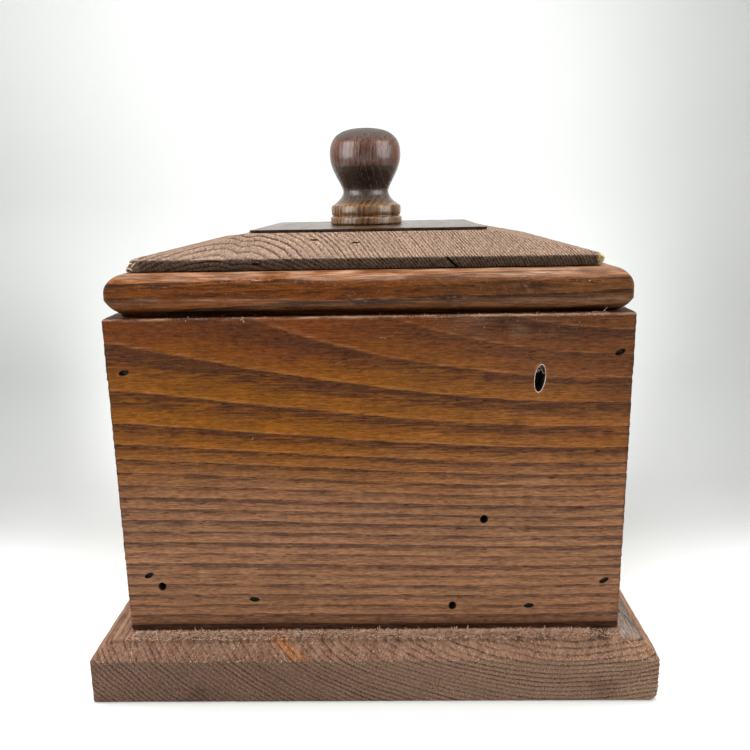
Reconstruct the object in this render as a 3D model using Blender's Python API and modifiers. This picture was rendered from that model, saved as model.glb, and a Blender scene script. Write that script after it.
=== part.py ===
"""Square wooden box on a bevelled plinth, with a lift-off hipped lid and a turned knob.

Metres, +Z up. The origin is on the ground under the centre of the plinth, and the front faces -Y.
The lid, with its cleats, panel, plate and knob, lifts straight up along +Z. All of it is built at rest,
with the lid on. Touching pieces keep a small gap, and each fastener has its own hole.
"""

import math
from collections import namedtuple

import bmesh
import bpy
from mathutils import Matrix, Vector

# Driving dimensions
BOX_WIDTH = 0.200            # outer width and depth over the four walls
BOX_HEIGHT = 0.130
WALL = 0.013
BOTTOM = 0.018               # thickness of the bottom board
PLINTH_WIDTH = 0.2268
PLINTH_HEIGHT = 0.0241
PLINTH_BEVEL = 0.0055
LID_WIDTH = 0.1978
LID_HEIGHT = 0.0160
PANEL_WIDTH = 0.1820
PANEL_EDGE = 0.0038          # upright edge of the hip panel, below its slopes
PANEL_HEIGHT = 0.0121
PANEL_TOP_WIDTH = 0.1060     # the small flat on top, where the slopes end
PLATE_WIDTH = 0.1013
PLATE_THICKNESS = 0.0010
KNOB_HEIGHT = 0.0447
KNOB_RADIUS = 0.0170
CLEAT_WIDTH = 0.010
CLEAT_HEIGHT = 0.009
CLEAT_CLEARANCE = 0.0018     # between a cleat and the wall beside it, all round
GAP = 0.0003                 # between pieces that touch
SET_DEPTH = 0.0012           # how far a nail's head is set below the wood
PANEL_SHIFT = -0.0008        # the hip panel, its plate and the knob were set by hand, left of the middle
PLATE_SHIFT = -0.0004
KNOB_SHIFT = -0.0025
SLOT_WIDTH = 0.0011          # of the slot across a screw's head
SLOT_DEPTH = 0.0010
KNOB_SCREW_RADIUS = 0.0021
KNOB_SCREW_HEAD = 0.0026

# Levels that follow from them
WALL_FOOT = PLINTH_HEIGHT + GAP
WALL_TOP = PLINTH_HEIGHT + BOX_HEIGHT
LID_FOOT = WALL_TOP + GAP
LID_TOP = LID_FOOT + LID_HEIGHT
PANEL_FOOT = LID_TOP + GAP
PANEL_TOP = PANEL_FOOT + PANEL_HEIGHT
PLATE_FOOT = PANEL_TOP + GAP
PLATE_TOP = PLATE_FOOT + PLATE_THICKNESS
KNOB_FOOT = PLATE_TOP + GAP
HALF = BOX_WIDTH / 2
INNER = HALF - WALL

# Sides of the round pieces, and steps in a quarter circle
FASTENER_SIDES = 8
KNOB_SIDES = 32
WASHER_SIDES = 16
BORER_SIDES = 12
ARC_STEPS = 4

Fastener = namedtuple("Fastener", "outline slot_width")
Material = namedtuple("Material", "name colour roughness metallic")

VARNISHED = Material("varnished_softwood", (0.23, 0.085, 0.030), 0.45, 0.0)
BARE = Material("bare_softwood", (0.20, 0.125, 0.085), 0.80, 0.0)
INSIDE = Material("inside_softwood", (0.42, 0.27, 0.15), 0.80, 0.0)
PLATE = Material("dark_lacquer", (0.035, 0.022, 0.018), 0.25, 0.0)
KNOB = Material("turned_hardwood", (0.11, 0.040, 0.022), 0.30, 0.0)
NAIL_IRON = Material("dark_iron", (0.060, 0.050, 0.045), 0.60, 1.0)
SCREW_STEEL = Material("screw_steel", (0.45, 0.44, 0.42), 0.40, 1.0)

# Beetle holes in the front board: x, height above the ground, width, height of the opening, depth
BORER_HOLES = (
    (-0.0856, 0.0441, 0.0028, 0.0028, 0.006),
    (0.0324, 0.0347, 0.0030, 0.0030, 0.006),
    (0.0447, 0.0724, 0.0030, 0.0030, 0.007),
    (0.0649, 0.1294, 0.0038, 0.0104, 0.007),
)


def clear_scene():
    for obj in list(bpy.data.objects):
        bpy.data.objects.remove(obj, do_unlink=True)


def make_collection(name):
    collection = bpy.data.collections.new(name)
    bpy.context.scene.collection.children.link(collection)
    return collection


def blender_material(material):
    """The Principled material of this name, made the first time it is asked for."""
    found = bpy.data.materials.get(material.name)
    if found:
        return found
    made = bpy.data.materials.new(material.name)
    made.use_nodes = True
    shader = made.node_tree.nodes["Principled BSDF"]
    shader.inputs["Base Color"].default_value = (*material.colour, 1.0)
    shader.inputs["Roughness"].default_value = material.roughness
    shader.inputs["Metallic"].default_value = material.metallic
    return made


def add_object(name, mesh, material, parent):
    obj = bpy.data.objects.new(name, mesh)
    mesh.materials.append(blender_material(material))
    PARTS.objects.link(obj)
    obj.parent = parent
    return obj


def add_cutter(name, mesh, matrix, boards):
    """A hidden cutter, and a Boolean on each board that it goes through."""
    cutter = bpy.data.objects.new(name, mesh)
    cutter.matrix_world = matrix
    cutter.hide_render = True
    cutter.display_type = "WIRE"
    CUTTERS.objects.link(cutter)
    for board in boards:
        cut = board.modifiers.new(name, "BOOLEAN")
        cut.operation = "DIFFERENCE"
        cut.object = cutter
    return cutter


def block_mesh(name, size):
    bm = bmesh.new()
    bmesh.ops.create_cube(bm, size=1.0, matrix=Matrix.Diagonal((*size, 1.0)))
    mesh = bpy.data.meshes.new(name)
    bm.to_mesh(mesh)
    bm.free()
    return mesh


def block(name, low, high, material, parent):
    """A plain board between two corners."""
    low, high = Vector(low), Vector(high)
    board = add_object(name, block_mesh(name, high - low), material, parent)
    board.location = (low + high) / 2
    return board


def outline_mesh(name, outline, closed=False):
    """A mesh of edges in the XZ plane, ready for a Screw modifier."""
    count = len(outline)
    edges = [(i, (i + 1) % count) for i in range(count if closed else count - 1)]
    mesh = bpy.data.meshes.new(name)
    mesh.from_pydata([(radius, 0.0, height) for radius, height in outline], edges, [])
    return mesh


def turn(obj, sides):
    screw = obj.modifiers.new("turn", "SCREW")
    screw.steps = sides
    screw.render_steps = sides
    screw.use_merge_vertices = True
    screw.merge_threshold = 0.00001
    screw.use_smooth_shade = False


def square_board(name, outline, shift, material, parent):
    """A square board with the same edge on all four sides: its half outline, turned in four steps."""
    corner = math.sqrt(2.0)
    mesh = outline_mesh(name, [(half_width * corner, height) for half_width, height in outline])
    board = add_object(name, mesh, material, parent)
    turn(board, 4)
    board.rotation_euler.z = math.radians(45)
    board.location.x = shift
    return board


def arc(centre, radius, start, stop, steps=ARC_STEPS):
    """Points on an arc, in degrees from +X, both ends included."""
    points = []
    for i in range(steps + 1):
        angle = math.radians(start + (stop - start) * i / steps)
        points.append((centre[0] + radius * math.cos(angle), centre[1] + radius * math.sin(angle)))
    return points


def make_plinth(parent):
    half = PLINTH_WIDTH / 2
    outline = [
        (0, PLINTH_HEIGHT),
        (half - PLINTH_BEVEL, PLINTH_HEIGHT),
        (half, PLINTH_HEIGHT - PLINTH_BEVEL),
        (half, 0),
        (0, 0),
    ]
    return square_board("plinth_board", outline, 0.0, BARE, parent)


def make_walls(parent):
    """Front and back boards run the full width, and cover the ends of the side boards."""
    end = INNER - GAP
    corners = {
        "front": ((-HALF, -HALF), (HALF, -INNER)),
        "back": ((-HALF, INNER), (HALF, HALF)),
        "left": ((-HALF, -end), (-INNER, end)),
        "right": ((INNER, -end), (HALF, end)),
    }
    walls = {}
    for side, (low, high) in corners.items():
        walls[side] = block(f"{side}_board", (*low, WALL_FOOT), (*high, WALL_TOP), VARNISHED, parent)
    return walls


def bore_front(front):
    """Blind beetle holes, round or oval, square to the front face."""
    past_surface = 0.006
    to_front = Vector((0, -1, 0)).to_track_quat("Z", "Y").to_matrix().to_4x4()
    for number, (x, z, width, height, depth) in enumerate(BORER_HOLES, start=1):
        name = f"borer_hole_{number}"
        mesh = outline_mesh(name, [(0, past_surface), (0.5, past_surface), (0.5, -depth), (0, -depth)])
        place = Matrix.Translation((x, -HALF, z)) @ to_front @ Matrix.Diagonal((width, height, 1.0, 1.0))
        turn(add_cutter(name, mesh, place, [front]), BORER_SIDES)


def make_bottom(parent):
    reach = INNER - GAP
    low = (-reach, -reach, WALL_FOOT)
    return block("bottom_board", low, (reach, reach, WALL_FOOT + BOTTOM), INSIDE, parent)


def make_lid_board(parent):
    """From the top: quarter round, short upright face, chamfer, and a small step above the box."""
    half = LID_WIDTH / 2
    round_radius = 0.0070
    chamfer_top = 0.0058
    chamfer_foot = 0.0006
    chamfer_run = 0.0043
    quarter = arc((half - round_radius, LID_TOP - round_radius), round_radius, 90, 0)
    outline = [(0, LID_TOP)] + quarter + [
        (half, LID_FOOT + chamfer_top),
        (half - chamfer_run, LID_FOOT + chamfer_foot),
        (half - chamfer_run, LID_FOOT),
        (0, LID_FOOT),
    ]
    return square_board("lid_board", outline, 0.0, VARNISHED, parent)


def make_hip_panel(parent):
    outline = [
        (0, PANEL_TOP),
        (PANEL_TOP_WIDTH / 2, PANEL_TOP),
        (PANEL_WIDTH / 2, PANEL_FOOT + PANEL_EDGE),
        (PANEL_WIDTH / 2, PANEL_FOOT),
        (0, PANEL_FOOT),
    ]
    return square_board("hip_panel", outline, PANEL_SHIFT, BARE, parent)


def make_top_plate(parent):
    half = PLATE_WIDTH / 2
    low = (PLATE_SHIFT - half, -half, PLATE_FOOT)
    return block("top_plate", low, (PLATE_SHIFT + half, half, PLATE_TOP), PLATE, parent)


def knob_outline():
    """From the top down: domed bulb, taper to the neck, cove, bead, groove and foot ring."""
    top = KNOB_FOOT + KNOB_HEIGHT
    widest = KNOB_FOOT + 0.0324
    neck = KNOB_FOOT + 0.0157
    bead_top = KNOB_FOOT + 0.0086
    bead_foot = KNOB_FOOT + 0.0042
    neck_radius = 0.0104
    bead_radius = 0.0168
    points = [(0, top)]
    for i in range(1, 8):
        turned = math.radians(90 * i / 7)
        radius = KNOB_RADIUS * math.sin(turned) ** 0.77
        points.append((radius, widest + (top - widest) * math.cos(turned) ** 0.77))
    for i in range(1, 7):
        share = 1 - i / 6
        radius = neck_radius + (KNOB_RADIUS - neck_radius) * math.sin(math.pi / 2 * share) ** 1.25
        points.append((radius, neck + (widest - neck) * share))
    for i in range(1, 5):
        share = i / 4
        radius = neck_radius + (bead_radius - 0.0008 - neck_radius) * share ** 2.5
        points.append((radius, neck + (bead_top - neck) * share))
    points += [
        (bead_radius, bead_top - 0.0014),
        (bead_radius, bead_foot + 0.0009),
        (bead_radius - 0.0006, bead_foot + 0.0002),
        (bead_radius - 0.0006, bead_foot - 0.0003),
        (bead_radius + 0.0004, bead_foot - 0.0010),
        (bead_radius + 0.0004, KNOB_FOOT),
        (0, KNOB_FOOT),
    ]
    return points


def make_knob(parent):
    knob = add_object("knob", outline_mesh("knob", knob_outline()), KNOB, parent)
    turn(knob, KNOB_SIDES)
    knob.modifiers["turn"].use_smooth_shade = True
    knob.location.x = KNOB_SHIFT
    return knob


def make_cleats(parent):
    """Four strips under the lid board that keep it centred on the box."""
    outer = INNER - CLEAT_CLEARANCE
    inner = outer - CLEAT_WIDTH
    top = LID_FOOT - GAP
    foot = top - CLEAT_HEIGHT
    end = inner - GAP
    corners = {
        "front": ((-outer, -outer), (outer, -inner)),
        "back": ((-outer, inner), (outer, outer)),
        "left": ((-outer, -end), (-inner, end)),
        "right": ((inner, -end), (outer, end)),
    }
    cleats = {}
    for side, (low, high) in corners.items():
        cleats[side] = block(f"{side}_cleat", (*low, foot), (*high, top), INSIDE, parent)
    return cleats


def nail_kind(length, shank, head, head_height):
    """A round nail with a small flat head. Its outline starts at the head's top, at height 0."""
    point = 4 * shank
    flat_head = [(0, 0), (head, 0), (head, -head_height)]
    return Fastener(flat_head + [(shank, -head_height), (shank, point - length), (0, -length)], 0.0)


def countersunk_kind(length, shank, head, head_height):
    rim = 0.0005
    point = 2.5 * shank
    cone = [(0, 0), (head, 0), (head, -rim), (shank, -head_height)]
    return Fastener(cone + [(shank, point - length), (0, -length)], SLOT_WIDTH)


def round_head_kind(length, shank, head, head_height):
    """length runs from under the head, and the outline's height 0 is the head's crown."""
    point = 2.5 * shank
    crown = [(0, 0), (0.55 * head, 0), (0.85 * head, -0.3 * head_height), (head, -0.7 * head_height)]
    tip = -head_height - length
    body = [(head, -head_height), (shank, -head_height), (shank, tip + point), (0, tip)]
    return Fastener(crown + body, SLOT_WIDTH)


BOARD_NAIL = nail_kind(length=0.038, shank=0.0009, head=0.0013, head_height=0.0011)
PANEL_NAIL = nail_kind(length=0.020, shank=0.0008, head=0.0012, head_height=0.0010)
CLEAT_BRAD = nail_kind(length=0.019, shank=0.0007, head=0.0011, head_height=0.0008)
PLINTH_SCREW = countersunk_kind(length=0.033, shank=0.0020, head=0.0040, head_height=0.0026)
KNOB_SCREW = round_head_kind(length=0.045, shank=KNOB_SCREW_RADIUS, head=0.0040, head_height=KNOB_SCREW_HEAD)


def hole_mesh(name, outline):
    """The fastener's outline, wider and deeper by the gap, and open past the wood's surface."""
    past_surface = 0.006
    deeper = [(radius + GAP if radius else 0, height - GAP) for radius, height in outline[2:]]
    rim = outline[1][0] + GAP
    return outline_mesh(name, [(0, past_surface), (rim, past_surface)] + deeper)


def drive(name, kind, head_top, outward, boards, material, parent):
    """One fastener with its head's top at head_top, and its hole in each board it goes through."""
    turn_to_wood = Vector(outward).to_track_quat("Z", "Y").to_matrix().to_4x4()
    place = Matrix.Translation(head_top) @ turn_to_wood
    fastener = add_object(name, outline_mesh(name, kind.outline), material, parent)
    fastener.matrix_world = place
    turn(fastener, FASTENER_SIDES)
    if kind.slot_width:
        head_radius = max(radius for radius, _ in kind.outline)
        slot = block_mesh(f"{name}_slot", (3 * head_radius, kind.slot_width, 2 * SLOT_DEPTH))
        add_cutter(f"{name}_slot", slot, place, [fastener])
    hole = add_cutter(f"{name}_hole", hole_mesh(f"{name}_hole", kind.outline), place, boards)
    turn(hole, FASTENER_SIDES)
    return fastener


def nail_walls(walls, bottom, parent):
    """Nails through the front and back boards into the sides, and through all four walls into the bottom."""
    front_y = SET_DEPTH - HALF
    front_nails = (
        ("upper_left", -0.0932, 0.1335, walls["left"]),
        ("upper_right", 0.0946, 0.1391, walls["right"]),
        ("lower_left", -0.0906, 0.0490, walls["left"]),
        ("lower_right", 0.0932, 0.0455, walls["right"]),
        ("foot_left", -0.0482, 0.0380, bottom),
        ("foot_right", 0.0634, 0.0345, bottom),
    )
    for place, x, z, second in front_nails:
        boards = (walls["front"], second)
        drive(f"front_nail_{place}", BOARD_NAIL, (x, front_y, z), (0, -1, 0), boards, NAIL_IRON, parent)

    corner_x, upper_z, lower_z = 0.0935, 0.1360, 0.0470
    foot_x, foot_z = 0.0550, 0.0360
    back_nails = (
        ("upper_left", -corner_x, upper_z, walls["left"]),
        ("upper_right", corner_x, upper_z, walls["right"]),
        ("lower_left", -corner_x, lower_z, walls["left"]),
        ("lower_right", corner_x, lower_z, walls["right"]),
        ("foot_left", -foot_x, foot_z, bottom),
        ("foot_right", foot_x, foot_z, bottom),
    )
    for place, x, z, second in back_nails:
        boards = (walls["back"], second)
        drive(f"back_nail_{place}", BOARD_NAIL, (x, -front_y, z), (0, 1, 0), boards, NAIL_IRON, parent)

    side_y = 0.0480
    for side, sign in (("left", -1), ("right", 1)):
        for end, y in (("front", -side_y), ("back", side_y)):
            boards = (walls[side], bottom)
            head = (sign * (HALF - SET_DEPTH), y, foot_z)
            drive(f"{side}_nail_foot_{end}", BOARD_NAIL, head, (sign, 0, 0), boards, NAIL_IRON, parent)


def panel_height(distance):
    """Height of the hip panel's slope at this distance from the lid's middle."""
    edge_top = PANEL_FOOT + PANEL_EDGE
    share = (PANEL_WIDTH / 2 - distance) / (PANEL_WIDTH / 2 - PANEL_TOP_WIDTH / 2)
    return edge_top + (PANEL_TOP - edge_top) * share


def nail_panel(panel, lid_board, parent):
    """Two nails down through each slope of the hip panel, into the lid board."""
    spread = 0.022
    out = 0.0640
    nails = (
        ("front_left", -0.0216, -0.0622),
        ("front_right", -0.0042, -0.0668),
        ("back_left", -spread, out),
        ("back_right", spread, out),
        ("left_front", -out, -spread),
        ("left_back", -out, spread),
        ("right_front", out, -spread),
        ("right_back", out, spread),
    )
    for place, x, y in nails:
        top = panel_height(max(abs(x), abs(y))) - SET_DEPTH
        head = (x + PANEL_SHIFT, y, top)
        drive(f"panel_nail_{place}", PANEL_NAIL, head, (0, 0, 1), (panel, lid_board), NAIL_IRON, parent)


def brad_cleats(cleats, lid_board, parent):
    """Two brads up through each cleat into the lid board."""
    middle = INNER - CLEAT_CLEARANCE - CLEAT_WIDTH / 2
    spread = 0.055
    foot = LID_FOOT - GAP - CLEAT_HEIGHT + SET_DEPTH
    sides = {"front": (0, -1), "back": (0, 1), "left": (-1, 0), "right": (1, 0)}
    for side, (out_x, out_y) in sides.items():
        for number, along in (("1", -spread), ("2", spread)):
            x = out_x * middle + abs(out_y) * along
            y = out_y * middle + abs(out_x) * along
            name = f"{side}_cleat_brad_{number}"
            boards = (cleats[side], lid_board)
            drive(name, CLEAT_BRAD, (x, y, foot), (0, 0, -1), boards, NAIL_IRON, parent)


def screw_plinth(plinth, bottom, parent):
    """Four countersunk screws up through the plinth into the bottom board."""
    out_x, out_y = 0.0740, 0.0660
    sunk = 0.0020
    corners = {"front_left": (-1, -1), "front_right": (1, -1), "back_left": (-1, 1), "back_right": (1, 1)}
    for place, (sign_x, sign_y) in corners.items():
        head = (sign_x * out_x, sign_y * out_y, sunk)
        drive(f"plinth_screw_{place}", PLINTH_SCREW, head, (0, 0, -1), (plinth, bottom), SCREW_STEEL, parent)


def screw_knob(boards, parent):
    """A round-headed screw and its washer, from under the lid board up into the knob's neck."""
    washer_thickness = 0.0010
    washer_radius = 0.0065
    top = LID_FOOT - GAP
    foot = top - washer_thickness
    bore = KNOB_SCREW_RADIUS + GAP
    ring = [(washer_radius, top), (washer_radius, foot), (bore, foot), (bore, top)]
    washer = add_object("knob_washer", outline_mesh("knob_washer", ring, closed=True), SCREW_STEEL, parent)
    turn(washer, WASHER_SIDES)
    washer.location.x = KNOB_SHIFT
    head = (KNOB_SHIFT, 0, foot - GAP - KNOB_SCREW_HEAD)
    drive("knob_screw", KNOB_SCREW, head, (0, 0, -1), boards, SCREW_STEEL, parent)


def build():
    box = bpy.data.objects.new("box", None)
    lid = bpy.data.objects.new("lid", None)
    for frame in (box, lid):
        PARTS.objects.link(frame)

    plinth = make_plinth(box)
    walls = make_walls(box)
    bottom = make_bottom(box)
    bore_front(walls["front"])
    nail_walls(walls, bottom, box)
    screw_plinth(plinth, bottom, box)

    lid_board = make_lid_board(lid)
    panel = make_hip_panel(lid)
    plate = make_top_plate(lid)
    knob = make_knob(lid)
    cleats = make_cleats(lid)
    nail_panel(panel, lid_board, lid)
    brad_cleats(cleats, lid_board, lid)
    screw_knob((lid_board, panel, plate, knob), lid)


clear_scene()
PARTS = make_collection("lidded_box")
CUTTERS = make_collection("cutters")
build()
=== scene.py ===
"""Looks of the lidded wooden box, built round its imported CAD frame.

Every wooden board is a dense mesh in place of its plain CAD solid, with worn edges, sawn ends, holes and
breaks as real geometry. Its material is a solid piece of wood: growth rings round a pith line, cut by the
board's faces, so that long grain and end grain meet at the edges. Lengths in the wood materials are in
millimetres, all others are in metres.
"""

import math
from collections import namedtuple

import bmesh
import bpy
import numpy as np
from mathutils import Matrix, Vector


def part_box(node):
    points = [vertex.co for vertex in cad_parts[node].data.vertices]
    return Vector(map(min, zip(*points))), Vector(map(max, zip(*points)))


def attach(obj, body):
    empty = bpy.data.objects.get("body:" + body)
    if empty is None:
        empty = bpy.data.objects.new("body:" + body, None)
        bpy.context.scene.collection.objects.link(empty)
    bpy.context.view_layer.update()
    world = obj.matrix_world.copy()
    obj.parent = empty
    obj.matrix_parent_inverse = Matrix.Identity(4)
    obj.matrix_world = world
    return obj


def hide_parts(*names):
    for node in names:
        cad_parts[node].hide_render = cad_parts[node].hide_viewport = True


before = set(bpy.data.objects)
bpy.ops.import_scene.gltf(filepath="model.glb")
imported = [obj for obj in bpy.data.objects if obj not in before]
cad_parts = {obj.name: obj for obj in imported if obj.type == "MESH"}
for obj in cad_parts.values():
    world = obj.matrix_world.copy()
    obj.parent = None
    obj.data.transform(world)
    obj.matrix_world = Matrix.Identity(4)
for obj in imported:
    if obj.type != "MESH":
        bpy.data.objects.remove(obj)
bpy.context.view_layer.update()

MM = 0.001


# ---------------------------------------------------------------- colours and shader nodes


def srgb(red, green, blue):
    """A display colour, 0 to 255, as the linear colour that a shader takes."""
    linear = []
    for value in (red / 255, green / 255, blue / 255):
        linear.append(value / 12.92 if value <= 0.04045 else ((value + 0.055) / 1.055) ** 2.4)
    return (*linear, 1.0)


SPECULAR = "Specular IOR Level"


class Shading:
    """A material with a Principled shader, and short calls that add nodes in front of it.

    A colour of three numbers is a display colour, 0 to 255, and one of four numbers is linear.
    """

    def __init__(self, name):
        self.material = bpy.data.materials.new(name)
        self.material.use_nodes = True
        self.tree = self.material.node_tree
        self.shader = self.tree.nodes["Principled BSDF"]
        self.place = self.tree.nodes.new("ShaderNodeTexCoord").outputs["Object"]

    def put(self, socket, value):
        if isinstance(value, bpy.types.NodeSocket):
            self.tree.links.new(value, socket)
        elif isinstance(value, tuple) and len(value) == 3:
            socket.default_value = srgb(*value)
        else:
            socket.default_value = value

    def node(self, kind, inputs, **settings):
        node = self.tree.nodes.new("ShaderNode" + kind)
        for key, value in settings.items():
            setattr(node, key, value)
        for key, value in inputs.items():
            self.put(node.inputs[key], value)
        return node

    def look(self, colour, roughness, relief=None, depth=0.0, others=None):
        """Sets the shader. depth is the relief's height in metres, and others are further inputs."""
        inputs = {"Base Color": colour, "Roughness": roughness, **(others or {})}
        if relief is not None:
            bump = {"Height": relief, "Distance": depth, "Strength": 1.0}
            inputs["Normal"] = self.node("Bump", bump).outputs[0]
        for key, value in inputs.items():
            self.put(self.shader.inputs[key], value)
        return self.material

    def math(self, operation, *values, clamp=False):
        inputs = dict(enumerate(values))
        return self.node("Math", inputs, operation=operation, use_clamp=clamp).outputs[0]

    def chain(self, operation, values):
        result = values[0]
        for value in values[1:]:
            result = self.math(operation, result, value)
        return result

    def total(self, *values):
        return self.chain("ADD", values)

    def times(self, *values):
        return self.chain("MULTIPLY", values)

    def less(self, value, taken):
        return self.math("SUBTRACT", value, taken)

    def vector(self, x, y, z):
        return self.node("CombineXYZ", {0: x, 1: y, 2: z}).outputs[0]

    def colour(self, red, green, blue):
        return self.node("CombineColor", {0: red, 1: green, 2: blue}).outputs[0]

    def noise(self, vector, detail=2.0, roughness=0.5, scale=1.0):
        inputs = {"Vector": vector, "Scale": scale, "Detail": detail, "Roughness": roughness}
        return self.node("TexNoise", inputs).outputs[0]

    def ease(self, value, start, stop, low=0.0, high=1.0):
        """low where value is at start, high where it is at stop, and smooth between."""
        inputs = {0: value, 1: start, 2: stop, 3: low, 4: high}
        return self.node("MapRange", inputs, interpolation_type="SMOOTHSTEP").outputs[0]

    def curve(self, value, stops):
        """A number read from a list of (position, height) stops, with straight lines between them."""
        node = self.node("ValToRGB", {0: value})
        ramp = node.color_ramp
        while len(ramp.elements) < len(stops):
            ramp.elements.new(0.5)
        for element, (position, height) in zip(ramp.elements, stops):
            element.position = position
            element.color = (height, height, height, 1.0)
        return self.node("SeparateColor", {0: node.outputs[0]}).outputs[0]

    def mix(self, factor, first, second, blend="MIX"):
        node = self.node("Mix", {0: factor, 6: first, 7: second}, data_type="RGBA", blend_type=blend)
        return node.outputs[2]

    def painted(self, name):
        return self.node("Attribute", {}, attribute_name=name).outputs["Fac"]


# ---------------------------------------------------------------- wood

# A board's wood. Lengths are in millimetres, and the pith's place is in the object's frame, on the two axes
# across the grain. lean and bend move the pith per 100 mm and per 100 mm squared along the grain.
# The bare colour is the colour of worn wood, and it also serves for painted light on the lid's moulding and
# painted shade on the knob's crown.
Wood = namedtuple(
    "Wood",
    "grain pith lean bend ring_width young_rings warp wave dark light line bare pale"
    " band band_strength line_strength streaks grit pores flecks relief roughness specular coat dent",
)
# young_rings is (extra rings per mm, radius, softness): rings grow narrower past that radius. dent is
# (place across, depth, half width): the rings dip there.

# Share of dark wood through one ring, from the ring's inner edge outwards.
SOFT_BAND = ((0.0, 0.3), (0.025, 0.9), (0.12, 1.0), (0.30, 0.72), (0.50, 0.34), (0.75, 0.08), (1.0, 0.0))
NARROW_BAND = ((0.0, 0.3), (0.06, 0.95), (0.20, 1.0), (0.36, 0.38), (0.54, 0.08), (0.85, 0.0), (1.0, 0.1))


def grain_axes(shading, grain):
    """The place in the wood, in millimetres: along the grain, and the two axes across it."""
    scaled = shading.node("VectorMath", {0: shading.place, "Scale": 1000.0}, operation="SCALE").outputs[0]
    x, y, z = shading.node("SeparateXYZ", {0: scaled}).outputs
    return {"x": (x, y, z), "y": (y, x, z), "z": (z, x, y)}[grain]


class Grain:
    """The place in a board's wood, and noises drawn out along its grain."""

    def __init__(self, shading, grain):
        self.s = shading
        self.along, self.across, self.height = grain_axes(shading, grain)

    def fibres(self, fineness, stretch, detail=2.0, roughness=0.55):
        """fineness is bumps per mm across the grain, and stretch how much longer they are along it."""
        s = self.s
        place = s.vector(s.times(self.along, fineness / stretch), s.times(self.across, fineness),
                         s.times(self.height, fineness))
        return s.noise(place, detail=detail, roughness=roughness)

    def rings(self, wood):
        """How many growth rings lie inside this place."""
        s = self.s
        per_100 = s.times(self.along, 0.01)
        squared = s.times(per_100, per_100)
        offsets = []
        for place, centre, lean, bend in zip((self.across, self.height), wood.pith, wood.lean, wood.bend):
            pith = s.total(centre, s.times(per_100, lean), s.times(squared, bend))
            offsets.append(s.less(place, pith))
        radius = s.math("SQRT", s.total(*[s.times(offset, offset) for offset in offsets]))
        for fineness, stretch, reach in ((0.022, 2.4, wood.warp), (0.12, 4.0, wood.wave), (0.5, 5.0, 0.1)):
            radius = s.total(radius, s.times(s.less(self.fibres(fineness, stretch), 0.5), 2 * reach))
        if wood.dent:
            place, depth, half_width = wood.dent
            away = s.times(s.less(self.across, place), 1 / half_width)
            radius = s.total(radius, s.times(s.math("EXPONENT", s.times(away, away, -1.0)), depth))
        count = s.times(radius, 1 / wood.ring_width)
        if wood.young_rings:
            extra, past, softness = wood.young_rings
            power = s.math("EXPONENT", s.times(s.less(radius, past), 1 / softness))
            grown = s.math("LOGARITHM", s.total(power, 1.0), math.e)
            count = s.total(count, s.times(grown, extra * softness))
        return count


def wood_material(name, wood, tint=None):
    """The wood's colour, gloss and relief. Painted numbers darken it, for stains and painted shade,
    or turn it to its bare colour, for wear and painted light and shade.
    """
    s = Shading(name)
    grain = Grain(s, wood.grain)
    count = grain.rings(wood)
    luck = s.node("TexWhiteNoise", {"W": s.math("FLOOR", count)}, noise_dimensions="1D").outputs[0]
    phase = s.math("FRACT", count)

    broad = s.ease(grain.fibres(0.30, 12), 0.34, 0.66)
    lines = s.ease(grain.fibres(1.1, 16), 0.36, 0.64)
    fine_noise = grain.fibres(1.8, 6, detail=3.0, roughness=0.65)
    fine = s.ease(fine_noise, 0.34, 0.66)
    patchy = s.ease(grain.fibres(0.06, 3), 0.32, 0.66)

    band = s.times(s.curve(phase, wood.band), s.total(0.50, s.times(patchy, 0.3), s.times(broad, 0.3)),
                   s.total(0.6, s.times(luck, 0.6)), wood.band_strength)
    thread = s.times(s.total(s.times(s.less(1.0, lines), 0.62), s.times(s.less(1.0, broad), 0.38)),
                     wood.streaks)
    dark = s.times(band, s.total(0.62, s.times(thread, 0.9)))
    dark = s.math("ADD", dark, s.times(thread, 0.5), clamp=True)

    light, deep = tint(s, grain) if tint else (wood.light, wood.dark)
    colour = s.mix(dark, light, deep)
    last_line = s.curve(phase, ((0.0, 0.5), (0.04, 0.0), (0.9, 0.0), (0.97, 1.0), (1.0, 0.9)))
    bright = s.times(last_line, lines, wood.line_strength)
    colour = s.mix(s.math("MINIMUM", bright, 1.0), colour, wood.line)
    pore = s.ease(grain.fibres(1.7, 9, detail=1.0), 0.61, 0.69)
    pore = s.times(pore, s.total(0.35, s.times(band, 0.8)), wood.pores)
    hollow = s.mix(1.0, wood.dark, (0.36, 0.32, 0.31, 1.0), "MULTIPLY")
    colour = s.mix(s.math("MINIMUM", pore, 1.0), colour, hollow)

    shade = s.total(1.0 - 0.5 * wood.grit, s.times(fine, wood.grit))
    shade = s.times(shade, s.total(0.90, s.times(patchy, 0.2)))
    colour = s.mix(1.0, colour, s.colour(shade, shade, shade), "MULTIPLY")
    fleck = s.times(s.ease(grain.fibres(1.7, 2.2, detail=1.0), 0.63, 0.72), wood.flecks)
    colour = s.mix(fleck, colour, wood.pale)

    # Stains darken the wood, and so does painted shade: in the gap under the lid and along the plinth's
    # strip.
    colour = s.mix(s.painted("stain"), colour, s.mix(1.0, colour, (0.30, 0.27, 0.26, 1.0), "MULTIPLY"))
    # Wear turns it to the bare colour, which also carries painted light on the lid's chamfer and shoulder
    # and painted shade on the knob's crown.
    wear = s.math("MULTIPLY", s.painted("wear"), s.total(0.45, s.times(lines, 0.7)), clamp=True)
    colour = s.mix(wear, colour, wood.bare)

    rough = s.total(wood.roughness - 0.08, s.times(lines, 0.16), s.times(wear, 0.4), s.times(pore, 0.2))
    relief = s.total(s.times(lines, 0.4), s.times(fine_noise, 0.9), s.times(band, -0.8),
                     s.times(pore, -0.8))
    return s.look(colour, s.math("MINIMUM", rough, 1.0), relief, wood.relief * MM,
                  {SPECULAR: wood.specular, "Coat Weight": wood.coat, "Coat Roughness": 0.16})


# A tint gives the light and the dark wood of a board, place by place.


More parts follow.
